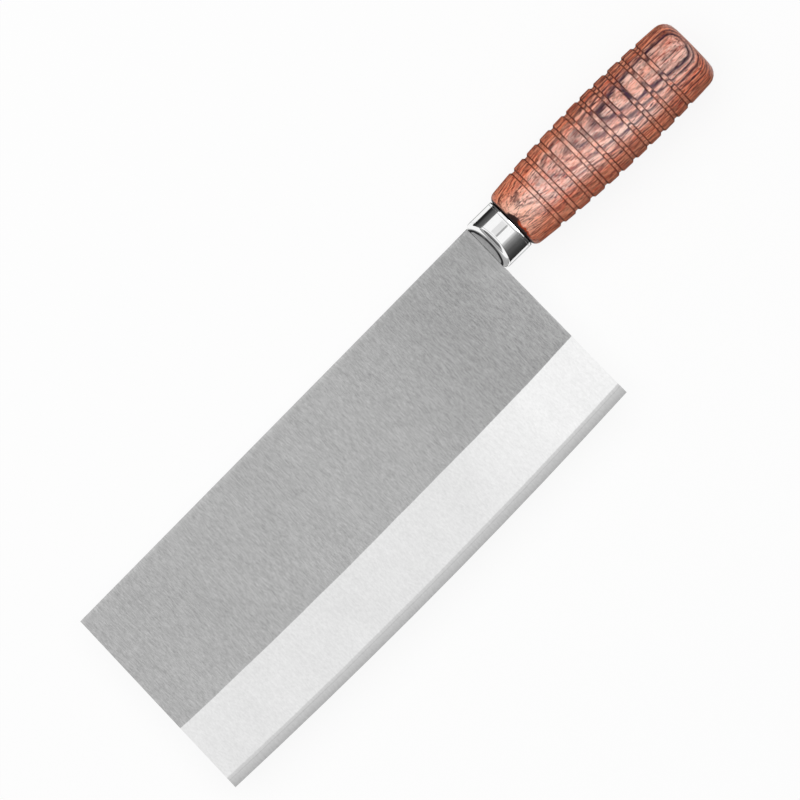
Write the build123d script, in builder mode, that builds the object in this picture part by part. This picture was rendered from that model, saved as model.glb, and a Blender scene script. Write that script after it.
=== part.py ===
from build123d import *

import os
from math import atan2, cos, degrees, radians, sin, sqrt, tan

# A cleaver with a broad three-layer steel blade, a polished ferrule and a grooved wooden handle.
# Millimetres, +Z up. The blade lies flat, +X runs along the handle from the blade's tip to the butt and
# +Y points from the cutting edge to the spine. The origin is under the middle of the whole knife, on the
# plane that the handle's belly touches.

# Blade outline, measured from the point where the handle's axis crosses the heel
spine_height = 10.1
spine_length = 207.1
spine_drop_angle = 1.05
blade_depth = 85.9
tip_narrowing = 0.5
tip_lean_angle = 1.3
edge_sagitta = 2.15

# Blade cross-section
blade_thickness = 2.0
core_thickness = 0.4
bevel_width = 30.3
honed_band_width = 4.8
honed_band_thickness = 0.6
edge_thickness = 0.06
eased_corner = 0.15

# Tang, one with the blade's three layers and ground a little thinner
tang_length = 80.0
tang_root_width = 12.0
tang_end_width = 7.0
tang_thickness = 1.6

# Ferrule
ferrule_diameter = 22.2
ferrule_length = 13.6
ferrule_bore_diameter = 18.0
ferrule_front_wall = 1.8
ferrule_front_angle = 17.5
ferrule_lip_radius = 2.5
ferrule_rear_bevel = 0.6
slot_clearance = 0.05
weld_leg = 1.5
weld_length = 10.0

# Handle
handle_length = 95.0
handle_front_diameter = 25.1
handle_belly_diameter = 31.7
handle_butt_diameter = 29.1
belly_from_front = 58.4
front_rounding = 3.2
butt_rounding = 5.5
spigot_clearance = 0.1
spigot_end_gap = 0.3
tang_bore_diameter = 13.0
bore_past_tang = 3.0

# Ring grooves turned into the handle
groove_count = 10
first_groove_from_front = 13.7
last_groove_from_butt = 16.05
groove_width = 2.6
groove_floor_width = 1.1
groove_depth = 0.72
groove_lip_rounding = 0.25

# How far cutting shapes run past what they cut
overrun = 0.5

# Corners of the blade, in the plane of the blade with the handle's axis along X and the heel at zero
spine_heel = Vector(0, spine_height)
spine_tip = spine_heel - Vector(cos(radians(spine_drop_angle)), sin(radians(spine_drop_angle))) * spine_length
tip_direction = Vector(-sin(radians(tip_lean_angle)), -cos(radians(tip_lean_angle)))
edge_tip = spine_tip + tip_direction * (blade_depth - tip_narrowing)
edge_heel = Vector(0, spine_height - blade_depth)

# The cutting edge is one shallow arc, and the grind lines are arcs about the same centre
chord = edge_heel - edge_tip
edge_radius = chord.length**2 / (8 * edge_sagitta) + edge_sagitta / 2
towards_spine = Vector(-chord.Y, chord.X).normalized()
edge_centre = (edge_heel + edge_tip) / 2 + towards_spine * (edge_radius - edge_sagitta)
lowest_x = min(max(edge_centre.X, edge_tip.X), edge_heel.X)
lowest_y = edge_centre.Y - sqrt(edge_radius**2 - (lowest_x - edge_centre.X) ** 2)

# Radii of the handle, and where its pieces start and end along the axis
ferrule_radius = ferrule_diameter / 2
ferrule_bore_radius = ferrule_bore_diameter / 2
belly_radius = handle_belly_diameter / 2
front_radius = handle_front_diameter / 2
butt_radius = handle_butt_diameter / 2
spigot_radius = ferrule_bore_radius - spigot_clearance
tang_bore_radius = tang_bore_diameter / 2
blade_half = blade_thickness / 2
tang_half = tang_thickness / 2
core_half = core_thickness / 2
front_slope = tan(radians(ferrule_front_angle))
cavity_start = (ferrule_radius - blade_half) * front_slope + ferrule_front_wall
spigot_start = cavity_start + weld_leg + spigot_end_gap
shoulder_x = ferrule_length
belly_x = shoulder_x + belly_from_front
butt_x = shoulder_x + handle_length
bore_end = tang_length + bore_past_tang

# The datum lies in the blade's middle plane, where the handle's axis crosses the heel
heel_x = -(edge_tip.X + butt_x) / 2
axis_y = -(max(belly_radius, spine_height) + lowest_y) / 2
datum = Plane(origin=(heel_x, axis_y, belly_radius))
lengthwise = Plane(origin=datum.origin, x_dir=(1, 0, 0), z_dir=(0, -1, 0))
across = Plane(origin=datum.origin, x_dir=(0, 1, 0), z_dir=(1, 0, 0))
handle_axis = Axis(datum.origin, (1, 0, 0))

# Outline that every layer of the blade is cut to, past the edge, which the grinding then takes back
below_edge = edge_sagitta + overrun
blade_outline = [
    spine_heel,
    spine_tip,
    edge_tip + tip_direction * below_edge,
    edge_heel - Vector(0, below_edge),
]
tang_outline = [
    Vector(-overrun, tang_root_width / 2),
    Vector(0, tang_root_width / 2),
    Vector(tang_length, tang_end_width / 2),
    Vector(tang_length, -tang_end_width / 2),
    Vector(0, -tang_root_width / 2),
    Vector(-overrun, -tang_root_width / 2),
]

# The ground shape is one cross-section turned about the edge's centre: radius across, height up.
# Its flats lie above the blade's own faces, so the bevels run on past the grind line and cut it cleanly.
edge_half = edge_thickness / 2
band_half = honed_band_thickness / 2
band_radius = edge_radius - honed_band_width
bevel_run = bevel_width - honed_band_width
bevel_drop = blade_half - band_half
cut_half = blade_half + overrun
cut_radius = edge_radius - bevel_width - overrun * bevel_run / bevel_drop
inner_radius = edge_radius - 2 * blade_depth
upper_section = [
    (edge_radius, edge_half),
    (band_radius, band_half),
    (cut_radius, cut_half),
    (inner_radius, cut_half),
]
ground_section = upper_section + [(radius, -height) for radius, height in reversed(upper_section)]

# The section starts past the tip and turns past the heel
turn_past_end = degrees(blade_depth / edge_radius)
tip_angle = degrees(atan2(edge_tip.Y - edge_centre.Y, edge_tip.X - edge_centre.X)) - turn_past_end
heel_angle = degrees(atan2(edge_heel.Y - edge_centre.Y, edge_heel.X - edge_centre.X)) + turn_past_end
section_origin = datum.from_local_coords(edge_centre)
section_direction = Vector(cos(radians(tip_angle)), sin(radians(tip_angle)))
section_plane = Plane(section_origin, x_dir=section_direction, z_dir=section_direction.cross(Vector(0, 0, 1)))
edge_axis = Axis(section_origin, (0, 0, 1))


def blade_layer(label, low, high, tang_low, tang_high, is_outer):
    """One steel layer between two heights from the blade's middle, with its own part of the tang."""
    with BuildPart() as layer:
        with BuildSketch(datum.offset(low)):
            with BuildLine():
                Polyline(blade_outline, close=True)
            make_face()
        extrude(amount=high - low)
        if is_outer:
            chamfer(layer.faces().sort_by(Axis.Z)[-1].edges(), eased_corner)
        with BuildSketch(section_plane):
            with BuildLine():
                Polyline(ground_section, close=True)
            make_face()
        revolve(axis=edge_axis, revolution_arc=heel_angle - tip_angle, mode=Mode.INTERSECT)
        with BuildSketch(datum.offset(tang_low)):
            with BuildLine():
                Polyline(tang_outline, close=True)
            make_face()
        extrude(amount=tang_high - tang_low)
    layer.part.label = label
    return layer.part


# Hard middle layer, which reaches the cutting edge
blade_core = blade_layer("blade_core", -core_half, core_half, -core_half, core_half, is_outer=False)

# Soft outer layers, with eased corners, thinner on the tang
blade_cladding_front = blade_layer(
    "blade_cladding_front", core_half, blade_half, core_half, tang_half, is_outer=True
)
with BuildPart() as back_layer:
    mirror(blade_cladding_front, about=datum)
blade_cladding_back = back_layer.part
blade_cladding_back.label = "blade_cladding_back"

# Ferrule: a collar whose front falls away on both sides from a land as wide as the blade
with BuildPart() as ferrule:
    with BuildSketch(across):
        Circle(ferrule_radius)
    extrude(amount=ferrule_length)
    outside = ferrule_radius + overrun
    with BuildSketch(lengthwise):
        with BuildLine():
            Polyline(
                (0, blade_half),
                ((outside - blade_half) * front_slope, outside),
                (ferrule_length, outside),
                (ferrule_length, -outside),
                ((outside - blade_half) * front_slope, -outside),
                (0, -blade_half),
                close=True,
            )
        make_face()
    extrude(amount=outside, both=True, mode=Mode.INTERSECT)
    lip_edges = ferrule.edges().filter_by(GeomType.LINE, reverse=True).group_by(Axis.X)[:-1]
    fillet([edge for group in lip_edges for edge in group], ferrule_lip_radius)
    chamfer(ferrule.faces().sort_by(Axis.X)[-1].edges(), ferrule_rear_bevel)
    with BuildSketch(across.offset(cavity_start)):
        Circle(ferrule_bore_radius)
    extrude(amount=ferrule_length - cavity_start, mode=Mode.SUBTRACT)
    with BuildSketch(across):
        Rectangle(tang_root_width + 2 * slot_clearance, tang_thickness + 2 * slot_clearance)
    extrude(amount=cavity_start, mode=Mode.SUBTRACT)
ferrule.part.label = "ferrule"

# Weld beads in the corner between the ferrule's front wall and the flats of the tang
with BuildPart() as ferrule_weld:
    with BuildSketch(lengthwise):
        with BuildLine():
            Polyline(
                (cavity_start, tang_half),
                (cavity_start + weld_leg, tang_half),
                (cavity_start, tang_half + weld_leg),
                close=True,
            )
        make_face()
    extrude(amount=weld_length / 2, both=True)
    mirror(about=datum)
ferrule_weld.part.label = "ferrule_weld"


def side_radius(x):
    """Radius of the handle's side at x, before the grooves: one arc each way from the belly."""
    end_x, end_radius = (shoulder_x, front_radius) if x < belly_x else (butt_x, butt_radius)
    run = abs(end_x - belly_x)
    drop = belly_radius - end_radius
    arc_radius = (run**2 + drop**2) / (2 * drop)
    return belly_radius - arc_radius + sqrt(arc_radius**2 - (x - belly_x) ** 2)


# Handle: a turned profile with a spigot for the ferrule and ring grooves, bored for the tang
groove_pitch = (handle_length - first_groove_from_front - last_groove_from_butt) / (groove_count - 1)
groove_places = [shoulder_x + first_groove_from_front + index * groove_pitch for index in range(groove_count)]
groove_spread = (groove_width - groove_floor_width) / 2 / groove_depth
groove_top_half = groove_width / 2 + overrun * groove_spread
with BuildPart() as handle:
    with BuildSketch(lengthwise) as profile:
        with BuildLine():
            TangentArc((belly_x, belly_radius), (shoulder_x, front_radius), tangent=(-1, 0))
            TangentArc((belly_x, belly_radius), (butt_x, butt_radius), tangent=(1, 0))
            Polyline(
                (shoulder_x, front_radius),
                (shoulder_x, spigot_radius),
                (spigot_start, spigot_radius),
                (spigot_start, 0),
                (butt_x, 0),
                (butt_x, butt_radius),
            )
        make_face()
        front_corner = profile.vertices().sort_by_distance((shoulder_x, front_radius))[0]
        fillet(front_corner, front_rounding)
        butt_corner = profile.vertices().sort_by_distance((butt_x, butt_radius))[0]
        fillet(butt_corner, butt_rounding)
        for place in groove_places:
            surface = side_radius(place)
            with BuildLine():
                Polyline(
                    (place - groove_floor_width / 2, surface - groove_depth),
                    (place + groove_floor_width / 2, surface - groove_depth),
                    (place + groove_top_half, surface + overrun),
                    (place - groove_top_half, surface + overrun),
                    close=True,
                )
            make_face(mode=Mode.SUBTRACT)
            front_lip = profile.vertices().sort_by_distance((place - groove_width / 2, surface))[0]
            rear_lip = profile.vertices().sort_by_distance((place + groove_width / 2, surface))[0]
            fillet([front_lip, rear_lip], groove_lip_rounding)
    revolve(axis=handle_axis)
    with BuildSketch(across.offset(spigot_start)):
        Circle(tang_bore_radius)
    extrude(amount=bore_end - spigot_start, mode=Mode.SUBTRACT)
handle.part.label = "handle"

# Resin that fills the handle's bore round the tang
with BuildPart() as tang_resin:
    with BuildSketch(across.offset(spigot_start)):
        Circle(tang_bore_radius)
    extrude(amount=bore_end - spigot_start)
    with BuildSketch(datum.offset(-tang_half)):
        with BuildLine():
            Polyline(tang_outline, close=True)
        make_face()
    extrude(amount=tang_thickness, mode=Mode.SUBTRACT)
tang_resin.part.label = "tang_resin"

os.makedirs("parts", exist_ok=True)
pieces = [
    blade_core,
    blade_cladding_front,
    blade_cladding_back,
    ferrule.part,
    ferrule_weld.part,
    handle.part,
    tang_resin.part,
]
for piece in pieces:
    export_step(piece, f"parts/{piece.label}.step")
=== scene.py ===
# %% [markdown]
# # A Chinese cleaver, dressed for the camera
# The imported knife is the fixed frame: its pieces already have their real size and place, in metres.
# +X runs along the handle to the butt, +Y points from the cutting edge to the spine, and the
# blade's face looks up. This file gives each piece its finish, remodels the two turned pieces with
# smooth surfaces, and then sets the camera, the light and the floor.

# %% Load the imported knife
import math

import bmesh
import bpy
from mathutils import Matrix, Vector


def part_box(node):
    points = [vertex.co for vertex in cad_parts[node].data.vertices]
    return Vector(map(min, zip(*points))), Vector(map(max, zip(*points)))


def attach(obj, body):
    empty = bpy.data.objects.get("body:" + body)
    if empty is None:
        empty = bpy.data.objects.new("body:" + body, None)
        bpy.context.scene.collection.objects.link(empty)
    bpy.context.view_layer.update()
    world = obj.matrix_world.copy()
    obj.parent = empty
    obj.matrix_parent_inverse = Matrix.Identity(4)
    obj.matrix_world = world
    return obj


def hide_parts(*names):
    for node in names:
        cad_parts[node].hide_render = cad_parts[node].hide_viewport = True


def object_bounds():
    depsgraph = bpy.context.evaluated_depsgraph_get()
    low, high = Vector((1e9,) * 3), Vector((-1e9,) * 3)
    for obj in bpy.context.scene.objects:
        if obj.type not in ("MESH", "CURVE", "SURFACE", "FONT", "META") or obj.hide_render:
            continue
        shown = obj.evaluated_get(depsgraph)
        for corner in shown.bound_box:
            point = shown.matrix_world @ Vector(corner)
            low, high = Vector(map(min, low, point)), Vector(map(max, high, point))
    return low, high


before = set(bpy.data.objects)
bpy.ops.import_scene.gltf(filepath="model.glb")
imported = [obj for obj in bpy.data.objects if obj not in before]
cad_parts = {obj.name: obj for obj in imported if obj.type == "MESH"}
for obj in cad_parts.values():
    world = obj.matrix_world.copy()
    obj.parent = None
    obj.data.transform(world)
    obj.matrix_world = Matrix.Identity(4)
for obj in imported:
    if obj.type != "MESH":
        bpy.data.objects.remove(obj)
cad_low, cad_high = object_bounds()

mm = 0.001
print("knife", [round(side / mm, 1) for side in cad_high - cad_low], "mm")

# %% [markdown]
# ## Where everything is
# A few places are enough to hang the rest on: the handle's axis, the heel where the blade ends, and
# the shoulder where the wood starts. All of them come from the boxes of the frame's own pieces.

# %% Find the handle's axis, the heel and the shoulder
collar_low, collar_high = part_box("ferrule")
wood_low, wood_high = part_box("handle")
core_low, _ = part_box("blade_core")

heel_x = collar_low.x
shoulder_x = collar_high.x
butt_x = wood_high.x
axis_y = (collar_low.y + collar_high.y) / 2
axis_z = (collar_low.z + collar_high.z) / 2
axis_start = Vector((heel_x, axis_y, axis_z))
print("heel at", round(heel_x / mm, 2), "axis at", round(axis_y / mm, 2), round(axis_z / mm, 2), "mm")

# %% [markdown]
# ## Two helpers for pieces
# Every new piece is drawn about the handle's axis, so its mesh is made there and then moved as a
# whole. The object itself stays at the world's origin, which keeps its texture coordinates in step
# with the frame. Faces that meet at a sharp angle keep a crisp edge, and the rest is shaded smooth.


# %% Make a piece from a bmesh
def smooth_below(mesh_data, angle_degrees):
    """Shade every face smooth, and mark the edges that fold by more than the angle as sharp."""
    for face in mesh_data.faces:
        face.smooth = True
    for edge in mesh_data.edges:
        if len(edge.link_faces) == 2:
            edge.smooth = edge.calc_face_angle() < math.radians(angle_degrees)


def make_piece(name, mesh_data, node, crisp_angle):
    """Turn a bmesh that is drawn about the handle's axis into a piece that stands for a node."""
    bmesh.ops.translate(mesh_data, vec=axis_start, verts=mesh_data.verts)
    bmesh.ops.recalc_face_normals(mesh_data, faces=mesh_data.faces)
    smooth_below(mesh_data, crisp_angle)
    mesh = bpy.data.meshes.new(name)
    mesh_data.to_mesh(mesh)
    mesh_data.free()
    piece = bpy.data.objects.new(name, mesh)
    bpy.context.scene.collection.objects.link(piece)
    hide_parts(node)
    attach(piece, "root")
    print(name, len(mesh.polygons), "faces")
    return piece


# %% [markdown]
# ## The ferrule
# The collar is a polished steel tube. Its front falls away on both sides of the blade like a shallow
# roof, with a rolled lip where the roof meets the tube, and a fine line is turned near its back. A
# boolean could cut that roof, but it leaves thin slivers that shade badly on polished metal. So the
# collar is made as a lathe and a press would: first an outline is spun round the axis with a flat
# front, and then every point is slid back along the axis as far as the roof is deep there. Sliding
# along the axis leaves the tube's own surface a true cylinder.

# %% Sizes of the ferrule
blade_half = 1.0 * mm
collar_radius = (collar_high.y - collar_low.y) / 2
collar_length = shoulder_x - heel_x
front_slope = math.tan(math.radians(17.5))
lip_radius = 1.9 * mm
lip_groove = 1.4 * mm
groove_under_lip = 0.5 * mm
groove_top = 0.3 * mm
rear_line = 12.25 * mm
rear_line_half = 0.1 * mm
rear_line_depth = 0.09 * mm
rear_bevel = 0.6 * mm
rear_rounding = (0.25 * mm, 0.12 * mm)
cavity_radius = 9.0 * mm
cavity_start = 4.98 * mm
slot_width = 12.1 * mm
slot_height = 1.7 * mm
ring_round_slot = 6.8 * mm
rings_on_tube = (3.2, 5.0, 7.0, 9.0, 11.0, 11.9)
print("collar", round(2 * collar_radius / mm, 2), "mm across,", round(collar_length / mm, 2), "mm long")


# %% [markdown]
# The outline starts on the axis, climbs the front, rolls over the lip, follows the tube to the back
# and comes home through the cavity. A spin turns it into a surface, and its doubled points are
# merged, so that the surface closes.


# %% Draw the collar's outline
def arc_points(centre, radius, start_degrees, end_degrees, steps):
    """Points on an arc, as (x, height)."""
    sweep = end_degrees - start_degrees
    turn = [math.radians(start_degrees + sweep * step / steps) for step in range(steps + 1)]
    return [(centre[0] + radius * math.cos(angle), centre[1] + radius * math.sin(angle)) for angle in turn]


lip_centre = (lip_radius, collar_radius - lip_radius)
collar_outline = [(0, 0), (0, ring_round_slot), (0, lip_centre[1] - lip_groove)]
collar_outline += [(groove_under_lip, lip_centre[1] - lip_groove / 2)]
collar_outline += [(groove_under_lip, lip_centre[1] - groove_top)]
collar_outline += arc_points(lip_centre, lip_radius, 180, 90, 14)
collar_outline += [(x * mm, collar_radius) for x in rings_on_tube]
collar_outline += [(rear_line - rear_line_half, collar_radius)]
collar_outline += [(rear_line, collar_radius - rear_line_depth)]
collar_outline += [(rear_line + rear_line_half, collar_radius)]
collar_outline += [(collar_length - rear_bevel, collar_radius)]
collar_outline += [(collar_length - rear_rounding[0], collar_radius - rear_rounding[1])]
collar_outline += [(collar_length, collar_radius - rear_bevel), (collar_length, cavity_radius)]
collar_outline += [(cavity_start, cavity_radius), (cavity_start, ring_round_slot), (cavity_start, 0)]
print("collar's outline", len(collar_outline), "points")

# %% Spin the outline
spin_steps = 144


def spun(outline):
    """A closed surface: the outline, given as (x, height), spun once round the X axis."""
    surface = bmesh.new()
    points = [surface.verts.new((x, 0, height)) for x, height in outline]
    edges = [surface.edges.new(pair) for pair in zip(points, points[1:])]
    bmesh.ops.spin(
        surface,
        geom=points + edges,
        cent=(0, 0, 0),
        axis=(1, 0, 0),
        angle=2 * math.pi,
        steps=spin_steps,
        use_merge=True,
    )
    bmesh.ops.remove_doubles(surface, verts=surface.verts, dist=0.002 * mm)
    return surface


collar = spun(collar_outline)
print("collar", len(collar.verts), "points, open edges", sum(edge.is_boundary for edge in collar.edges))

# %% [markdown]
# The roof starts at the blade's faces, so two cuts put edges there first. The slot for the tang is a
# window: four cuts outline it on the front and on the wall behind, the faces inside are taken out,
# and the two rims are bridged.


# %% Open the slot for the tang
def cut(surface, point, normal):
    """Put edges where a plane crosses the surface."""
    everything = surface.verts[:] + surface.edges[:] + surface.faces[:]
    bmesh.ops.bisect_plane(surface, geom=everything, plane_co=point, plane_no=normal, dist=0.001 * mm)


for side in (1, -1):
    cut(collar, (0, 0, side * blade_half), (0, 0, 1))
    cut(collar, (0, 0, side * slot_height / 2), (0, 0, 1))
    cut(collar, (0, side * slot_width / 2, 0), (0, 1, 0))


def in_slot(face):
    """Whether a face of the front or of the wall behind lies inside the slot's window."""
    middle = face.calc_center_median()
    is_wall = middle.x < 0.01 * mm or abs(middle.x - cavity_start) < 0.01 * mm
    return is_wall and abs(middle.y) < slot_width / 2 and abs(middle.z) < slot_height / 2


slot_faces = [face for face in collar.faces if in_slot(face)]
print("slot", len(slot_faces), "faces taken out")
bmesh.ops.delete(collar, geom=slot_faces, context="FACES")
slot_rims = [edge for edge in collar.edges if edge.is_boundary]
bmesh.ops.bridge_loops(collar, edges=slot_rims)

# %% [markdown]
# The groove under the lip runs out where it meets the blade, so its depth fades there before the
# roof is made. The slide is whole at the front and fades to nothing before the tube's back, which
# stays square to the axis. The wall of the cavity isn't slid.

# %% Slide the front back to a roof
front_zone = 1 * mm
groove_run_out = 3 * mm
slide_start = 3.2 * mm
slide_end = collar_length - 2 * mm
outside_cavity = cavity_radius + 0.1 * mm

for vertex in collar.verts:
    radius = math.hypot(vertex.co.y, vertex.co.z)
    off_blade = max(0, abs(vertex.co.z) - blade_half)
    if radius < lip_centre[1] and 0 < vertex.co.x < front_zone:
        vertex.co.x *= min(1, off_blade / groove_run_out)
    if radius > outside_cavity or vertex.co.x < front_zone:
        fade = min(1, max(0, (slide_end - vertex.co.x) / (slide_end - slide_start)))
        vertex.co.x += off_blade * front_slope * fade

ferrule = make_piece("ferrule_polished", collar, "ferrule", crisp_angle=14)

# %% [markdown]
# ## The handle
# The grip is one piece of turned wood: two long arcs that meet at the belly, a round front, a
# rounder butt and ten ring grooves with softened lips. Inside are the spigot that fills the ferrule
# and the bore for the tang. It could be a cylinder whose rings are scaled one by one, but a turned
# piece is one outline spun round its axis, and an outline lets every size have its name.

# %% Sizes of the handle
wood_length = butt_x - shoulder_x
wood_front_radius = 12.55 * mm
wood_belly_radius = (wood_high.y - wood_low.y) / 2
wood_butt_radius = 14.55 * mm
belly_from_front = 58.4 * mm
front_rounding = 3.2 * mm
butt_rounding = 5.5 * mm
spigot_radius = 8.9 * mm
bore_radius = 6.5 * mm
bore_end = 83.0 * mm

shoulder = shoulder_x - heel_x
spigot_start = wood_low.x - heel_x
belly = shoulder + belly_from_front
butt = shoulder + wood_length
print("wood", round(wood_length / mm, 2), "mm long,", round(2 * wood_belly_radius / mm, 2), "mm across")

# %% [markdown]
# The ten grooves are alike and evenly spaced, so one set of sizes and a list of places are enough.

# %% Sizes of the grooves
groove_count = 10
first_groove_from_front = 13.7 * mm
groove_pitch = 7.25 * mm
groove_width = 2.6 * mm
groove_floor_width = 1.1 * mm
groove_depth = 0.72 * mm
lip_rounding = 0.25 * mm
floor_rounding = 0.15 * mm
groove_places = [
    shoulder + first_groove_from_front + index * groove_pitch for index in range(groove_count)
]
print("grooves at", [round(place / mm, 1) for place in groove_places], "mm from the heel")


# %% [markdown]
# The side's radius comes from two arcs that share their highest point, the belly. Corners are given
# as (x, radius, rounding), and a helper turns each into a small arc. The bevel operator could round
# them after the spin, but on an outline each corner keeps its own size.


# %% The belly's two arcs, and small arcs for corners
def side_radius(x):
    """Radius of the wood's side at x, before the grooves."""
    end, end_radius = (shoulder, wood_front_radius) if x < belly else (butt, wood_butt_radius)
    run = abs(end - belly)
    drop = wood_belly_radius - end_radius
    arc_radius = (run**2 + drop**2) / (2 * drop)
    return wood_belly_radius - arc_radius + math.sqrt(arc_radius**2 - (x - belly) ** 2)


def rounded(corners, steps):
    """Points of an outline whose corners, given as (x, radius, rounding), become small arcs."""
    points = []
    for index, (x, height, rounding) in enumerate(corners):
        corner = Vector((x, height))
        if rounding == 0:
            points.append(corner)
            continue
        before = (Vector(corners[index - 1][:2]) - corner).normalized()
        after = (Vector(corners[index + 1][:2]) - corner).normalized()
        half_angle = before.angle(after) / 2
        centre = corner + (before + after).normalized() * (rounding / math.sin(half_angle))
        start = corner + before * (rounding / math.tan(half_angle)) - centre
        end = corner + after * (rounding / math.tan(half_angle)) - centre
        turn = start.angle_signed(end)
        for step in range(steps + 1):
            points.append(centre + Matrix.Rotation(-turn * step / steps, 2) @ start)
    return points


# %% [markdown]
# Between two grooves the side needs only a few rings of points, and a groove needs four corners.

# %% Corners of a plain stretch and of a groove
ring_spacing = 1.2 * mm
groove_reach = groove_width / 2 + 2 * lip_rounding


def stretch_corners(low, high):
    """Rings of points on the side between two places, close enough to follow the belly."""
    count = max(2, round((high - low) / ring_spacing))
    places = [low + (high - low) * step / count for step in range(count + 1)]
    return [(x, side_radius(x), 0) for x in places]


def groove_corners(middle):
    """The four corners of a ring groove: its two lips and the two ends of its floor."""
    floor_radius = side_radius(middle) - groove_depth
    near_lip, far_lip = middle - groove_width / 2, middle + groove_width / 2
    return [
        (near_lip, side_radius(near_lip), lip_rounding),
        (middle - groove_floor_width / 2, floor_radius, floor_rounding),
        (middle + groove_floor_width / 2, floor_radius, floor_rounding),
        (far_lip, side_radius(far_lip), lip_rounding),
    ]


# %% [markdown]
# Now the outline goes once round: out of the bore, over the spigot and the front, along the side
# from groove to groove, and over the butt back to the axis.

# %% Draw the handle's outline and spin it
side_start = shoulder + 1.2 * front_rounding
side_end = butt - 1.1 * butt_rounding
corners = [(bore_end, 0, 0), (bore_end, bore_radius, 0), (spigot_start, bore_radius, 0)]
corners += [(spigot_start, spigot_radius, 0), (shoulder, spigot_radius, 0)]
corners += [(shoulder, wood_front_radius, front_rounding)]
stops = [side_start] + groove_places + [side_end]
for start, end in zip(stops, stops[1:]):
    low = start + groove_reach * (start in groove_places)
    high = end - groove_reach * (end in groove_places)
    corners += stretch_corners(low, high)
    if end in groove_places:
        corners += groove_corners(end)
corners += [(butt, wood_butt_radius, butt_rounding), (butt, 0, 0)]

wood = spun([tuple(point) for point in rounded(corners, 5)])
print("wood", len(wood.verts), "points, open edges", sum(edge.is_boundary for edge in wood.edges))
handle = make_piece("handle_turned", wood, "handle", crisp_angle=50)

# %% [markdown]
# ## A helper for materials
# A material is a small graph of nodes. The helper adds a node and wires or sets its inputs, so that
# each recipe below reads as a list of steps. Patterns read Object coordinates, which are the frame's
# own metres, so that a pattern has its real size and stays put from every side. Inside a recipe they
# are turned into millimetres from a chosen point.


# %% Nodes and sums
class Graph:
    """A node material: its Principled shader, and the place of a point in millimetres."""

    def __init__(self, name, origin=(0, 0, 0)):
        self.material = bpy.data.materials.new(name)
        self.material.use_nodes = True
        self.tree = self.material.node_tree
        self.shader = self.tree.nodes["Principled BSDF"]
        coordinates = self.step("ShaderNodeTexCoord").outputs["Object"]
        from_origin = self.vector("SUBTRACT", coordinates, tuple(origin))
        self.place = self.vector("MULTIPLY", from_origin, (1 / mm, 1 / mm, 1 / mm))
        self.x, self.y, self.z = self.step("ShaderNodeSeparateXYZ", {0: self.place}).outputs

    def step(self, kind, inputs=None, **settings):
        """Add a node with its settings, and put its inputs."""
        node = self.tree.nodes.new(kind)
        for setting, value in settings.items():
            setattr(node, setting, value)
        for socket, value in (inputs or {}).items():
            self.put(node, socket, value)
        return node

    def put(self, node, socket, value):
        """Wire an input to another node's output, or set it to a plain value."""
        if isinstance(value, bpy.types.NodeSocket):
            self.tree.links.new(value, node.inputs[socket])
        else:
            node.inputs[socket].default_value = value

    def vector(self, operation, first, second=(0, 0, 0)):
        return self.step("ShaderNodeVectorMath", {0: first, 1: second}, operation=operation).outputs[0]

    def length(self, vector):
        return self.step("ShaderNodeVectorMath", {0: vector}, operation="LENGTH").outputs["Value"]

    def math(self, operation, first, second=0.0, third=0.0):
        return self.step("ShaderNodeMath", {0: first, 1: second, 2: third}, operation=operation).outputs[0]

    def total(self, *terms):
        """Sum of (factor, value) pairs and plain values."""
        result = 0.0
        for term in terms:
            if isinstance(term, tuple):
                result = self.math("MULTIPLY_ADD", term[1], term[0], result)
            else:
                result = self.math("ADD", term, result)
        return result

    def product(self, result, *others):
        for other in others:
            result = self.math("MULTIPLY", result, other)
        return result

    def largest(self, result, *others):
        for other in others:
            result = self.math("MAXIMUM", result, other)
        return result


# %% [markdown]
# Wood and worked steel are never even. Noise gives the unevenness, and its size is given as bumps
# per millimetre along each axis: few along one axis and many along the others make streaks. A smooth
# step then picks the part of a value that is wanted, and two of them make a band.


# %% Patterns
class PatternGraph(Graph):
    """A graph that also knows noise, smooth steps and bands."""

    def noise(self, per_mm, detail=2.0, roughness=0.5, where=None):
        """Noise from 0 to 1 with so many bumps per millimetre along each axis."""
        stretched = self.vector("MULTIPLY", where or self.place, per_mm)
        inputs = {"Vector": stretched, "Scale": 1.0, "Detail": detail, "Roughness": roughness}
        return self.step("ShaderNodeTexNoise", inputs).outputs["Fac"]

    def remap(self, value, low, high, to_low=0.0, to_high=1.0):
        """Smooth step of a value between two levels."""
        inputs = {"Value": value, "From Min": low, "From Max": high, "To Min": to_low, "To Max": to_high}
        return self.step("ShaderNodeMapRange", inputs, interpolation_type="SMOOTHSTEP").outputs["Result"]

    def band(self, value, low, high, soft):
        """1 between two levels, 0 outside, with soft borders."""
        above_low = self.remap(value, low - soft, low + soft)
        below_high = self.remap(value, high - soft, high + soft, 1.0, 0.0)
        return self.product(above_low, below_high)


# %% [markdown]
# Colour is laid on in coats, as a painter would: each coat is a blend whose share says where it
# covers the ones below. A Mix node keeps its colour inputs at 6 and 7 and its colour output at 2.


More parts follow.
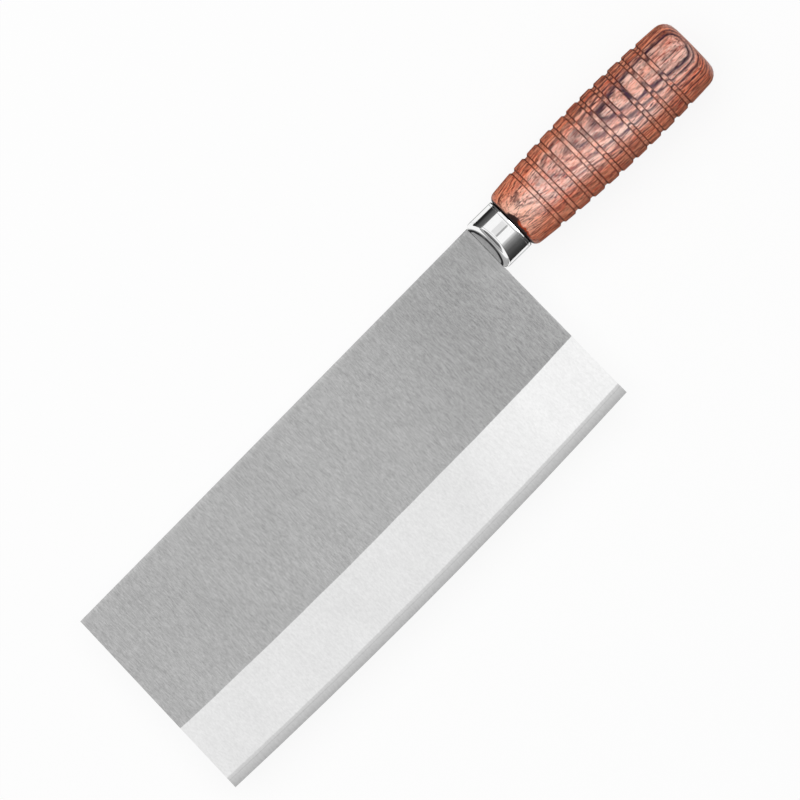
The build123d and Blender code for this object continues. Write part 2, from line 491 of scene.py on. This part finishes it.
# %% Colour and finish
class Recipe(PatternGraph):
    """A whole finish: colour in coats, a fine relief, roughness and metal."""

    def blend(self, share, first, second, how="MIX"):
        """Lay the second colour over the first."""
        node = self.step("ShaderNodeMix", {0: share}, data_type="RGBA", blend_type=how)
        self.put(node, 6, first)
        self.put(node, 7, second)
        return node.outputs[2]

    def grey(self, value):
        return self.step("ShaderNodeCombineColor", {0: value, 1: value, 2: value}).outputs[0]

    def bump(self, height, distance, strength=1.0):
        node = self.step("ShaderNodeBump", {"Height": height, "Distance": distance, "Strength": strength})
        self.put(self.shader, "Normal", node.outputs[0])

    def finish(self, colour, roughness, metallic=0.0):
        self.put(self.shader, "Base Color", colour)
        self.put(self.shader, "Roughness", roughness)
        self.put(self.shader, "Metallic", metallic)
        print(self.material.name, len(self.tree.nodes), "nodes")
        return self.material


# %% [markdown]
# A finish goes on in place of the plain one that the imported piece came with. Colours are written as
# a screen shows them, because that is how one mixes them by eye, and are then made linear.


# %% Dress a piece, and mix a colour
def dress(piece, material):
    """Give a piece, or a node of the frame by its name, its finish."""
    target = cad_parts[piece] if isinstance(piece, str) else piece
    target.data.materials.clear()
    target.data.materials.append(material)


def linear(share):
    """One channel as a screen shows it, from 0 to 1, in the renderer's linear scale."""
    return share / 12.92 if share <= 0.04045 else ((share + 0.055) / 1.055) ** 2.4


def paint(red, green, blue):
    """A colour as a screen shows it, from 0 to 255, for a shader."""
    return tuple(linear(channel / 255) for channel in (red, green, blue)) + (1,)


# %% [markdown]
# ## The blade's steel
# The flats are brushed across the blade, the wide bevel is ground bright, and the narrow band at the
# edge is honed. Each could be a set of faces with its own material, but then the borders would be
# ruler-straight, and ground ones never are. All three meet along arcs about one centre far above the
# spine, so one number tells them apart: a point's height over the edge, towards that centre.

# %% Find the arc of the cutting edge
edge_sagitta = 2.15 * mm
tip_below_axis = 79.07 * mm
heel_below_axis = 75.8 * mm
tip_corner = Vector((core_low.x, axis_y - tip_below_axis))
heel_corner = Vector((heel_x, axis_y - heel_below_axis))
chord = heel_corner - tip_corner
edge_radius = chord.length**2 / (8 * edge_sagitta) + edge_sagitta / 2
to_spine = Vector((-chord.y, chord.x)).normalized()
edge_centre = (heel_corner + tip_corner) / 2 + to_spine * (edge_radius - edge_sagitta)
miss = edge_centre.y - edge_radius - core_low.y
print("edge radius", round(edge_radius / mm), "mm, off the core's lowest point by", round(miss / mm, 3), "mm")

# %% [markdown]
# A grinder's line is never quite true: it wavers, and the grit leaves nicks in it. Both are added to
# the height over the edge before the zones are told apart. Towards the heel the bevel is a little
# narrower. All heights here are in millimetres, each with the two levels between which one finish
# gives way to the next.

# %% Tell the zones of the blade apart
bevel_ends = (30.1, 30.5)
bevel_narrows = 0.78
honed_ends = (4.4, 5.0)
core_seam = (3.2, 3.5)


def over_edge(recipe):
    """Height of a point over the cutting edge, in millimetres."""
    centre = ((edge_centre.x - heel_x) / mm, (edge_centre.y - axis_y) / mm, 0)
    from_centre = recipe.vector("SUBTRACT", recipe.place, centre)
    level = recipe.vector("MULTIPLY", from_centre, (1, 1, 0))
    return recipe.math("SUBTRACT", edge_radius / mm, recipe.length(level))


def blade_zones(recipe):
    """Wavering height over the edge, nearness to the heel, and shares of flat and honed band."""
    waver = recipe.noise((0.05, 0.05, 0.05), 3.0)
    nicks = recipe.noise((1.2, 0.1, 0.1), 2.0)
    height = recipe.total((0.4, waver), (0.3, nicks), -0.35, over_edge(recipe))
    to_heel = recipe.remap(recipe.x, -85, -15)
    on_flat = recipe.remap(recipe.total((bevel_narrows, to_heel), height), *bevel_ends)
    on_honed = recipe.remap(height, *honed_ends, 1.0, 0.0)
    return height, to_heel, on_flat, on_honed


# %% [markdown]
# The flat takes its look from brush marks that run across the blade, with a fine speckle and slow
# clouds over them. It is a little brighter along the spine and at the heel's edge, a painted
# highlight where light catches the eased corners, and by the collar, where it is polish overrun and
# also painted light that offsets the dark flags' reflection.

# %% Grey of the flat
spine_height = 10.1 * mm
spine_slope = math.tan(math.radians(1.05))


def edge_highlight_and_collar_light(recipe):
    """Shares of the painted highlight along the borders, and of the lighter place by the collar, which is
    polish overrun and painted light.
    """
    below_spine = recipe.total((spine_slope, recipe.x), (-1.0, recipe.y), spine_height / mm)
    along_spine = recipe.remap(below_spine, 0.2, 2.2, 1.0, 0.0)
    borders = recipe.largest(along_spine, recipe.remap(recipe.x, -1.6, 0.0))
    near_axis = recipe.remap(recipe.math("ABSOLUTE", recipe.y), 9.0, 13.0, 1.0, 0.0)
    return borders, recipe.product(near_axis, recipe.remap(recipe.x, -14.0, -1.0))


def flat_grey(recipe, brushing, clouds_and_glare, to_heel, lift):
    speckle = recipe.noise((2.6, 2.6, 2.6), 2.0, 0.6)
    coarse = recipe.noise((1.0, 0.16, 0.16), 2.0)
    marks = recipe.total((0.56, brushing), (0.12, coarse), (0.16, speckle), (0.06, clouds_and_glare))
    flat = recipe.total((-0.075, to_heel), marks, -0.01)
    # Painted highlight along the spine and the heel, and painted light by the collar.
    borders, by_collar = edge_highlight_and_collar_light(recipe)
    return recipe.grey(recipe.total((0.06, borders), (0.06, by_collar), flat, lift))


# %% [markdown]
# The bevel shows the wheel's marks and is the brightest part of the blade. Its slow clouds are
# painted glare, the changing brightness that a reflection gives. The honed band is darker towards the
# very edge, with a fine seam where the hard core comes out between the outer layers.


# %% Grey of the bevel and of the honed band
def ground_grey(recipe, grinding, clouds_and_glare, height, to_heel, on_honed):
    wheel_marks = recipe.noise((0.9, 0.04, 0.04), 2.0)
    seam = recipe.band(height, *core_seam, 0.15)
    # The slow clouds on the bevel are painted glare.
    marks = recipe.total((0.24, grinding), (0.06, wheel_marks), (0.12, clouds_and_glare))
    bevel = recipe.total((0.11, to_heel), marks, 0.57)
    honed_marks = recipe.total((0.16, grinding), (0.08, wheel_marks))
    honed = recipe.total((0.045, height), (-0.08, seam), honed_marks, 0.31)
    return recipe.blend(on_honed, recipe.grey(bevel), recipe.grey(honed))


# %% [markdown]
# The same recipe serves the front layer and the hard core, which only shows as a line and a strip
# at the edge. Brush marks are deeper than the wheel's, so the relief fades from flat to bevel, and
# the ground zones are a little glossier.
#
# The back layer doesn't wear it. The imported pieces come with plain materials, and one of them is
# already called clad_steel, so Blender puts a number after the new one's name. The search by name
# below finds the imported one, and the back stays plain steel. The material that blade_steel returns
# would have to be kept and used twice for both sides to be alike.


# %% Put the blade's steel together
def blade_steel(name, lift):
    """Steel of one layer. The hard core is a little lighter than the cladding, by its lift."""
    recipe = Recipe(name, origin=axis_start)
    height, to_heel, on_flat, on_honed = blade_zones(recipe)
    brushing = recipe.noise((3.4, 0.5, 0.5), 4.0, 0.7)
    grinding = recipe.noise((1.5, 0.7, 0.7), 3.0, 0.6)
    clouds_and_glare = recipe.noise((0.045, 0.03, 0.03), 3.0)
    flat = flat_grey(recipe, brushing, clouds_and_glare, to_heel, lift)
    ground = ground_grey(recipe, grinding, clouds_and_glare, height, to_heel, on_honed)
    relief = recipe.total((1.0, recipe.product(brushing, on_flat)), (0.4, grinding))
    recipe.bump(relief, 0.02 * mm, 0.3)
    rough = recipe.remap(on_flat, 0, 1, 0.28, 0.36)
    return recipe.finish(recipe.blend(on_flat, ground, flat), rough, 1.0)


dress("blade_cladding_front", blade_steel("clad_steel", 0.0))
dress("blade_cladding_back", bpy.data.materials["clad_steel"])
dress("blade_core", blade_steel("core_steel", 0.04))
for layer in ("blade_cladding_front", "blade_cladding_back", "blade_core"):
    print(layer, "wears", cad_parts[layer].data.materials[0].name)

# %% [markdown]
# ## The ferrule's polish
# Polished stainless steel has almost no colour of its own. What gives it life is a very low
# roughness with hair-fine turning marks round it, a few broad smears, and a near-black colour in the
# line under the lip, in the line near the back and against the wood, which is polishing paste and
# painted shade in those recesses. The broad bright and dark bands on the tube aren't painted here,
# because they would be wrong from every other side: they are reflections, and the cards further
# down make them.

# %% Where paste and painted shade lie
polish = Recipe("polished_steel", origin=axis_start)
roof = polish.largest(polish.total(polish.math("ABSOLUTE", polish.z), -blade_half / mm), 0.0)
behind_roof = polish.total((-front_slope, roof), polish.x)
from_axis = polish.length(polish.vector("MULTIPLY", polish.place, (0, 1, 1)))
widened = polish.total((0.022, polish.product(polish.z, polish.z)), from_axis)

front_face = polish.remap(behind_roof, 0.5, 0.6, 1.0, 0.0)
below_lip = polish.remap(from_axis, 9.35, 9.55, 1.0, 0.0)
under_lip = polish.product(polish.remap(widened, 8.1, 8.3), below_lip, front_face)
lip_back = polish.product(polish.band(behind_roof, 1.95, 2.1, 0.06), 0.5)
back_line = polish.product(polish.band(polish.x, 12.15, 12.35, 0.06), 0.35)
against_wood = polish.remap(polish.x, 13.35, 13.55)

smears = polish.noise((0.18, 0.18, 0.18), 3.0)
# Paste and painted shade in the recesses: under the lip, behind it, in the back line and against the wood.
paste_and_shade = polish.largest(under_lip, lip_back, back_line, against_wood)
paste_and_shade = polish.product(paste_and_shade, polish.remap(smears, 0.25, 0.55, 0.7, 1.0))
print("polish so far", len(polish.tree.nodes), "nodes")

# %% [markdown]
# The front face can't be reached by the polishing wheel as well as the tube, so it is a little duller,
# and its darker colour is painted shade. The turning marks are only a few thousandths of a millimetre deep.

# %% Polished steel
turning = polish.noise((3.0, 0.15, 0.15), 2.0)
streaks = polish.noise((0.5, 2.2, 2.2), 2.0)
# The front face is rougher, and its colour is darkened with painted shade.
dull_shaded_face = polish.product(front_face, polish.remap(from_axis, 8.9, 9.3, 1.0, 0.0))
steel = polish.total((0.08, streaks), (-0.27, dull_shaded_face), 0.89)
# The near-black paste and painted shade lie over the steel.
colour = polish.blend(paste_and_shade, polish.grey(steel), (0.03, 0.03, 0.032, 1))
smeared = polish.remap(smears, 0.35, 0.7, 0.03, 0.09)
rough = polish.total((0.05, turning), (0.30, paste_and_shade), (0.10, dull_shaded_face), smeared)
polish.bump(turning, 0.004 * mm, 0.3)
dress(ferrule, polish.finish(colour, rough, 1.0))

# %% [markdown]
# ## Weld and resin
# These two are only seen in a section. The weld has the grey, pitted look of a bead that was never
# ground, and the resin is amber with small bubbles.


# %% Weld and resin
def hidden_finish(name, light, dark, grain_per_mm, metallic, roughness):
    recipe = Recipe(name)
    grain = recipe.noise((grain_per_mm, grain_per_mm, grain_per_mm), 3.0)
    recipe.bump(grain, 0.08 * mm)
    return recipe.finish(recipe.blend(grain, dark, light), roughness, metallic)


weld_steel = hidden_finish("weld_steel", paint(176, 172, 168), paint(96, 92, 92), 1.6, 1.0, 0.5)
dress("ferrule_weld", weld_steel)
dress("tang_resin", hidden_finish("resin", paint(186, 128, 62), paint(120, 72, 30), 0.5, 0.0, 0.25))

# %% [markdown]
# ## The wood
# A growth ring is a curved sheet through the wood, and a vein is a dark ring. Turning the handle cuts
# those sheets, so a sheet that lies nearly level with the surface shows as a broad blotch or a
# closed loop, and one that stands up to it shows as a fine line. Painting such shapes one by one
# never looks right. Instead one number is worked out at every point, its height across the sheets,
# and colour follows that height: the loops, the fine lines at the sides and the rings on the butt
# all come by themselves, from every side.
#
# The sheets are tilted planes, turned about the handle's axis. Three sizes of noise bend them: slow
# bends, waves, and the fibres that fray each line.

# %% How high a point lies across the growth rings
growth_turn = math.radians(18)
growth_tilt = 0.053
mean_bend = 1.45

rosewood = Recipe("rosewood", origin=(shoulder_x, axis_y, axis_z))
turned = (math.cos(growth_turn), rosewood.z), (math.sin(growth_turn), rosewood.y)
sheets = rosewood.total(*turned, (growth_tilt, rosewood.x))
bends = rosewood.noise((0.035, 0.10, 0.10), 2.0)
waves = rosewood.noise((0.16, 0.55, 0.55), 3.0, 0.6)
fibres = rosewood.noise((0.5, 4.5, 4.5), 3.0, 0.65)
ring_height = rosewood.total((1.4, bends), (0.9, waves), (0.6, fibres), -mean_bend, sheets)
print("rosewood so far", len(rosewood.tree.nodes), "nodes")

# %% [markdown]
# A vein darkens slowly from below and ends sharply above, as late wood does. A colour ramp over the
# height holds them all, each as (height, strength, width) in millimetres. The veins come and go in
# patches, and they are fainter towards the ferrule.

# %% Dark veins
vein_heights = [(18.45, 1.0, 0.42), (17.2, 1.0, 0.32), (15.45, 1.0, 0.32), (13.5, 1.0, 0.24)]
vein_heights += [(11.2, 1.0, 0.2), (9.3, 0.8, 0.18), (6.4, 0.9, 0.2), (2.5, 0.8, 0.25)]
vein_heights += [(-2.4, 0.8, 0.25), (-8.5, 0.9, 0.3)]
slow_side, sharp_side = 2.2, 0.8
ramp_low, ramp_high = -18.0, 22.0
ramp_span = ramp_high - ramp_low

ramp_stops = []
for centre, strength, width in vein_heights:
    ramp_stops += [(centre - slow_side * width, 0.0), (centre, strength), (centre + sharp_side * width, 0.0)]
ramp = rosewood.step("ShaderNodeValToRGB")
ramp.color_ramp.interpolation = "EASE"
for place, level in sorted(ramp_stops):
    stop = ramp.color_ramp.elements.new((place - ramp_low) / ramp_span)
    stop.color = (level, level, level, 1)
for ramp_end in (0, -1):
    ramp.color_ramp.elements[ramp_end].color = (0, 0, 0, 1)
rosewood.put(ramp, "Fac", rosewood.total((1 / ramp_span, ring_height), -ramp_low / ramp_span))

patches = rosewood.remap(rosewood.noise((0.06, 0.25, 0.25), 2.0), 0.30, 0.55, 0.6, 1.0)
to_butt = rosewood.remap(rosewood.x, 5.0, 60.0, 0.35, 1.0)
vein = rosewood.product(ramp.outputs["Color"], patches, to_butt)
print(len(vein_heights), "veins on", len(ramp.color_ramp.elements), "stops")

# %% [markdown]
# Between the veins the wood is a pale, pinkish brown. Broad tones and redder rings follow the growth
# sheets, so their noise is read at (x, y, height). Over them lie the pores: short pale and dark
# streaks along the handle.

# %% Colour between the veins
along_ring = rosewood.step("ShaderNodeCombineXYZ", {0: rosewood.x, 1: rosewood.y, 2: ring_height}).outputs[0]
rings = rosewood.noise((0.03, 0.06, 1.7), 3.0, 0.7, where=along_ring)
tone = rosewood.noise((0.04, 0.16, 0.35), 2.0, where=along_ring)
pores = rosewood.noise((0.15, 2.4, 2.4), 5.0, 0.8)

colour = rosewood.blend(rosewood.remap(tone, 0.35, 0.65), paint(250, 206, 190), paint(252, 180, 156))
colour = rosewood.blend(rosewood.remap(rings, 0.50, 0.66, 0.0, 0.5), colour, paint(188, 62, 44))
colour = rosewood.blend(rosewood.remap(pores, 0.40, 0.52, 0.9, 0.0), colour, paint(248, 210, 196))
colour = rosewood.blend(rosewood.remap(pores, 0.52, 0.60, 0.0, 0.85), colour, paint(172, 42, 30))
print("rosewood so far", len(rosewood.tree.nodes), "nodes")

# %% [markdown]
# Away from its top the handle is deeper and redder, partly its own tone and partly painted shade on
# the sides that turn away from the light, so one coat multiplies the colour there. A pale patch on
# top of the round front is a painted highlight. Thin dark lines follow the rings, and small dark
# dashes follow the fibres, and both are a little denser where the wood is deep.

# %% Deeper, shaded sides, painted highlight on the front, lines and dashes
deep_tone_and_shade = rosewood.total((3.0, tone), (-1.0, rosewood.z), (-0.1, rosewood.y))
deep_tone_and_shade = rosewood.remap(deep_tone_and_shade, -13.0, -9.0)
near_middle = rosewood.remap(rosewood.math("ABSOLUTE", rosewood.y), 6.0, 10.0, 1.0, 0.0)
front_highlight = rosewood.product(near_middle, rosewood.remap(rosewood.x, 4.0, 15.0, 0.45, 0.0))
lines = rosewood.band(rings, 0.49, 0.54, 0.02)
lines = rosewood.product(lines, rosewood.total((0.3, deep_tone_and_shade), 0.65))
dashes = rosewood.noise((0.24, 2.0, 2.0), 3.0, 0.6)
dash_share = rosewood.remap(rosewood.total((0.02, deep_tone_and_shade), dashes), 0.59, 0.63, 0.0, 0.95)

# Deeper tone and painted shade on the sides away from the top.
colour = rosewood.blend(deep_tone_and_shade, colour, (0.98, 0.58, 0.4, 1), "MULTIPLY")
# Painted highlight on top of the round front.
colour = rosewood.blend(front_highlight, colour, paint(250, 202, 178))
colour = rosewood.blend(lines, colour, paint(64, 16, 20))
colour = rosewood.blend(dash_share, colour, paint(40, 6, 24))
print("rosewood so far", len(rosewood.tree.nodes), "nodes")

# %% [markdown]
# The grooves repeat along the handle. Rounding the place by the groove's pitch gives the nearest
# one, and what is left over is the distance from it. The floors are cut fresh and a little lighter,
# and the walls are darkened with painted shade. The veins run through floors and sides alike, so
# their coat lies between the two.

# %% Veins, groove floors and groove walls
from_first = rosewood.total(rosewood.x, -first_groove_from_front / mm)
nearest = rosewood.math("ROUND", rosewood.math("DIVIDE", from_first, groove_pitch / mm))
nearest = rosewood.math("MINIMUM", rosewood.largest(nearest, 0.0), groove_count - 1.0)
from_groove = rosewood.math("ABSOLUTE", rosewood.total((-groove_pitch / mm, nearest), from_first))
groove_floor = rosewood.remap(from_groove, 0.55, 0.70, 1.0, 0.0)
groove_wall_shade = rosewood.band(from_groove, 0.72, 1.10, 0.14)
groove_wall_shade = rosewood.product(groove_wall_shade, rosewood.remap(pores, 0.3, 0.6, 0.6, 0.95))
vein_tone = rosewood.blend(rosewood.remap(fibres, 0.44, 0.64), paint(8, 4, 22), paint(60, 28, 58))

colour = rosewood.blend(rosewood.product(groove_floor, 0.2), colour, paint(222, 160, 132))
colour = rosewood.blend(vein, colour, vein_tone)
# Painted shade on the groove walls.
colour = rosewood.blend(groove_wall_shade, colour, paint(60, 12, 10))
print("rosewood so far", len(rosewood.tree.nodes), "nodes")

# %% [markdown]
# Against the ferrule there is a dark joint all round, partly dirt and partly painted shade in the
# recess between wood and collar. On the side that looks up, something has run out of it, glue
# perhaps, and left a small stain with a torn border, which is redder at one end.

# %% Joint and stain at the ferrule
torn = rosewood.noise((0.35, 0.35, 0.35), 3.0)
ragged = rosewood.total((4.0, torn), rosewood.x)
stain = rosewood.product(
    rosewood.band(rosewood.y, -9.0, 3.6, 0.5),
    rosewood.remap(ragged, 3.9, 4.2, 1.0, 0.0),
    rosewood.remap(rosewood.z, 0.0, 1.0),
)
redder_end = rosewood.remap(rosewood.y, -2.4, -0.6, 1.0, 0.0)
redness = rosewood.product(rosewood.remap(ragged, 3.0, 3.5), redder_end)
stain_tone = rosewood.blend(redness, paint(24, 8, 8), paint(172, 56, 20))
joint_and_shade = rosewood.remap(rosewood.x, 0.55, 1.05, 1.0, 0.0)

colour = rosewood.blend(rosewood.product(stain, 0.95), colour, stain_tone)
# The dark joint is dirt together with painted shade in the recess.
colour = rosewood.blend(joint_and_shade, colour, paint(20, 10, 10))
print("rosewood so far", len(rosewood.tree.nodes), "nodes")

# %% [markdown]
# The wood has a thin hard finish with a soft sheen, duller in the pores, the veins and the grooves.
# Pores and fibres are sunk into it by a few hundredths of a millimetre.

# %% Sheen of the wood
rough = rosewood.total((0.18, pores), (0.15, vein), (0.2, groove_floor), 0.24)
rosewood.bump(rosewood.total((-0.5, dashes), (-0.5, fibres)), 0.05 * mm, 0.5)
rosewood.put(rosewood.shader, "Specular IOR Level", 0.18)
dress(handle, rosewood.finish(colour, rough))

# %% [markdown]
# ## Camera
# The photograph looks straight down on the blade from far away. One pixel of it spans 0.376 mm of
# the blade, and its middle lies on the blade a little below the handle's axis. A long lens from five
# metres keeps the view nearly parallel.

# %% Place the camera
photo_pixels = 800
pixel = 0.376 * mm
camera_distance = 5.0
handle_angle = math.radians(44.38)
photo_middle = Vector((heel_x - 62.96 * mm, axis_y - 18.28 * mm, axis_z))

camera_data = bpy.data.cameras.new("camera")
camera_data.sensor_width = 36
camera_data.lens = camera_distance / (pixel * photo_pixels) * camera_data.sensor_width
camera_data.clip_start = 0.1
camera_data.clip_end = 20
camera = bpy.data.objects.new("camera", camera_data)
camera.location = photo_middle + Vector((0, 0, camera_distance))
camera.rotation_euler = (0, 0, -handle_angle)
bpy.context.scene.collection.objects.link(camera)
bpy.context.scene.camera = camera
print("lens", round(camera_data.lens), "mm")

# %% [markdown]
# ## Light
# The world gives an even level from all sides, and one big lamp over the spine side adds shape. Both
# stay plain, so that a colour renders about as it is written. The background is white without more
# light on the knife: the world and the paper ask how a ray sees them, and are white for one that
# comes straight from the camera or out of a mirror.


# %% Ask how a ray sees a surface
def seen_directly(tree):
    """1 for a ray that sees a surface straight on, in a mirror or through glass, else 0."""
    paths = tree.nodes.new("ShaderNodeLightPath")
    seen = paths.outputs["Is Camera Ray"]
    for kind in ("Is Glossy Ray", "Is Transmission Ray"):
        either = tree.nodes.new("ShaderNodeMath")
        either.operation = "MAXIMUM"
        tree.links.new(seen, either.inputs[0])
        tree.links.new(paths.outputs[kind], either.inputs[1])
        seen = either.outputs[0]
    return seen


# %% World
world_level = 0.42
world = bpy.data.worlds.new("studio")
bpy.context.scene.world = world
world.use_nodes = True
sky = world.node_tree.nodes["Background"]
sky.inputs["Color"].default_value = (1, 1, 1, 1)
strength = world.node_tree.nodes.new("ShaderNodeMapRange")
strength.inputs["To Min"].default_value = world_level
strength.inputs["To Max"].default_value = 1.0
world.node_tree.links.new(seen_directly(world.node_tree), strength.inputs["Value"])
world.node_tree.links.new(strength.outputs["Result"], sky.inputs["Strength"])
print("world", world_level, "as light, 1 where it is seen")

# %% Lamp
lamp_side = 2.0
lamp_level = 1.75
lamp_towards_spine, lamp_height = 0.5, 1.6
lamp_data = bpy.data.lights.new("overhead", "AREA")
lamp_data.shape = "SQUARE"
lamp_data.size = lamp_side
lamp_data.energy = lamp_level * math.pi * lamp_side**2
lamp = bpy.data.objects.new("overhead", lamp_data)
lamp.location = (0, lamp_towards_spine, lamp_height)
lamp.rotation_euler = (-math.atan2(lamp_towards_spine, lamp_height), 0, 0)
lamp.visible_glossy = False
bpy.context.scene.collection.objects.link(lamp)
print("lamp", round(lamp_data.energy, 1), "W")

# %% [markdown]
# ## Cards for the reflections
# A mirror shows only what stands round it, so in a white room a polished collar would look like
# paper. A product photographer puts up dark flags for it, and so does this cell's helper: a card is
# one face with its own plain glow, which may grow with height. Only reflections see it. It is hidden
# from the camera, throws no shadow and adds no scattered light, and it belongs to the stage.


# %% Make a card
def card(name, corners, levels):
    """A card that only reflections see, with one glow or with a list of (height in mm, glow)."""
    surface = bmesh.new()
    surface.faces.new([surface.verts.new(Vector(corner) * mm) for corner in corners])
    bmesh.ops.translate(surface, vec=axis_start, verts=surface.verts)
    mesh = bpy.data.meshes.new(name)
    surface.to_mesh(mesh)
    surface.free()
    item = bpy.data.objects.new(name, mesh)
    bpy.context.scene.collection.objects.link(item)
    item.visible_camera = False
    item.visible_diffuse = False
    item.visible_shadow = False
    item.visible_transmission = False
    dress(item, glowing(name, levels if isinstance(levels, list) else [(0, levels)]))
    print("card", name)


def glowing(name, levels):
    """A surface that glows by itself. Inputs 2 and 3 of a Mix node are its two plain numbers."""
    recipe = Recipe(name, origin=axis_start)
    glow = levels[0][1]
    for (low, _), (high, level) in zip(levels, levels[1:]):
        inputs = {0: recipe.remap(recipe.z, low, high), 2: glow, 3: level}
        glow = recipe.step("ShaderNodeMix", inputs).outputs[0]
    emission = recipe.step("ShaderNodeEmission", {"Color": (1, 1, 1, 1), "Strength": glow})
    recipe.put(recipe.tree.nodes["Material Output"], "Surface", emission.outputs[0])
    return recipe.material


# %% [markdown]
# A card stands beside the handle, stands across it, or lies level. All its places are in millimetres
# from the handle's axis at the heel.


# %% Three ways to put a card up
def along(y, start_x, end_x, low, high):
    """Corners of a card that stands beside the handle and along it."""
    return [(start_x, y, low), (end_x, y, low), (end_x, y, high), (start_x, y, high)]


def across(x, start_y, end_y, low, high):
    """Corners of a card that stands across the handle's axis."""
    return [(x, start_y, low), (x, end_y, low), (x, end_y, high), (x, start_y, high)]


def lying(height, start_x, end_x, start_y, end_y):
    """Corners of a level card."""
    near_side = [(start_x, start_y, height), (end_x, start_y, height)]
    return near_side + [(end_x, end_y, height), (start_x, end_y, height)]


# %% [markdown]
# The photograph's collar is white in the middle and dark towards both sides, softly on the side of
# the edge and sharply on the side of the spine. So a low dark flag stands on the spine side, and one
# on the edge side is tall and fades to white. Two more darken the sides of the handle.

# %% Flags beside the collar and the handle
card_distance = 22.6
collar_back, past_butt = 14, 112
near_floor = -15.8

spine_levels = [(-1.5, 0.01), (2.8, 0.02), (7.9, 0.09), (14.5, 0.14)]
card("flag_spine_side", along(card_distance, -6, collar_back, -1.5, 14.5), spine_levels)
handle_corners = along(card_distance, collar_back, past_butt, near_floor, 14.5)
card("flag_beside_handle", handle_corners, [(near_floor, 0.02), (14.5, 0.16)])

edge_levels = [(-6.3, 0.015), (2, 0.04), (12, 0.085), (19, 0.17), (25, 0.27), (35, 0.56), (44, 1.0)]
card("flag_edge_side", along(-card_distance, 1.2, collar_back, -6.3, 44), edge_levels)
handle_corners = along(-card_distance, collar_back, past_butt, near_floor, 10)
card("flag_below_handle", handle_corners, [(near_floor, 0.02), (10, 0.12)])

# %% [markdown]
# The lip and the roof look forwards, so two small flags hang over the blade's heel for them. One
# lies under the collar, and a narrow one hangs over it for the grey line in its white middle.

# %% Flags ahead of the collar, under it and over it
card("flag_ahead", across(-1, -9, 15, 12.5, 26), [(12.5, 0.08), (19, 0.2), (26, 0.45)])
card("flag_low_ahead", across(-1.2, -9, 14, 9.4, 12.4), [(9.4, 0.3), (12.4, 0.45)])
card("flag_under_collar", lying(near_floor, -2, collar_back, -20, 20), 0.45)
overhead_height = 50
over_collar = (5, 12.4)
card("flag_overhead", lying(overhead_height, *over_collar, 0, 6), 0.4)

# %% [markdown]
# The handle has a soft sheen along its top. One bright strip over the wood gives it, because the
# lamp isn't seen in reflections. Two pale screens stand between the strip and the blade, so that the
# brushed steel doesn't show it.

# %% Strip over the handle, and its screens
card("strip_light", lying(32, 15.5, 90, -34, 8), 8)
card("strip_shade", across(14.6, -50, 13, 15, 33), 0.8)
card("strip_shade_below", across(14.6, -60, -13.5, -2, 33), 0.8)

# %% [markdown]
# Two cards are left. A dark one under the handle keeps the white paper out of the wood's sheen, and
# a pale one beside the narrow flag makes one half of the collar's white middle a shade greyer.

# %% Card under the handle, and pale card over the collar
card("flag_under_handle", lying(near_floor, collar_back, past_butt, -26, 26), 0.04)
card("dim_overhead", lying(overhead_height, *over_collar, 6, 28), 0.8)

# %% [markdown]
# ## Floor
# The knife lies on white paper. Seen by the camera and in reflections the paper glows white by
# itself, so that it stays white, and its lit part keeps a faint shadow of the knife.

# %% Lay the paper down
paper_radius = 6.0
paper = bmesh.new()
bmesh.ops.create_circle(paper, cap_ends=True, segments=96, radius=paper_radius)
paper_mesh = bpy.data.meshes.new("paper")
paper.to_mesh(paper_mesh)
paper.free()
paper_sheet = bpy.data.objects.new("paper", paper_mesh)
paper_sheet.location = (0, 0, cad_low.z)
bpy.context.scene.collection.objects.link(paper_sheet)
print("paper at", round(cad_low.z / mm, 2), "mm")

# %% White paper
paper_grey = 0.45
glow_share = 0.88
white_paper = Recipe("paper")
looked_at = seen_directly(white_paper.tree)
paleness = white_paper.math("MULTIPLY_ADD", looked_at, paper_grey, paper_grey)
diffuse = white_paper.step("ShaderNodeBsdfDiffuse", {"Color": white_paper.grey(paleness)})
glow = white_paper.step("ShaderNodeEmission", {"Color": (1, 1, 1, 1), "Strength": 1.0})
both = white_paper.step("ShaderNodeMixShader", {0: white_paper.product(looked_at, glow_share)})
white_paper.put(both, 1, diffuse.outputs[0])
white_paper.put(both, 2, glow.outputs[0])
white_paper.put(white_paper.tree.nodes["Material Output"], "Surface", both.outputs[0])
dress(paper_sheet, white_paper.material)
print("paper", len(white_paper.tree.nodes), "nodes")

# %% [markdown]
# ## Finish
# The picture is shown as it is rendered, without a film look.

# %% Finish
bpy.context.scene.view_settings.view_transform = "Standard"
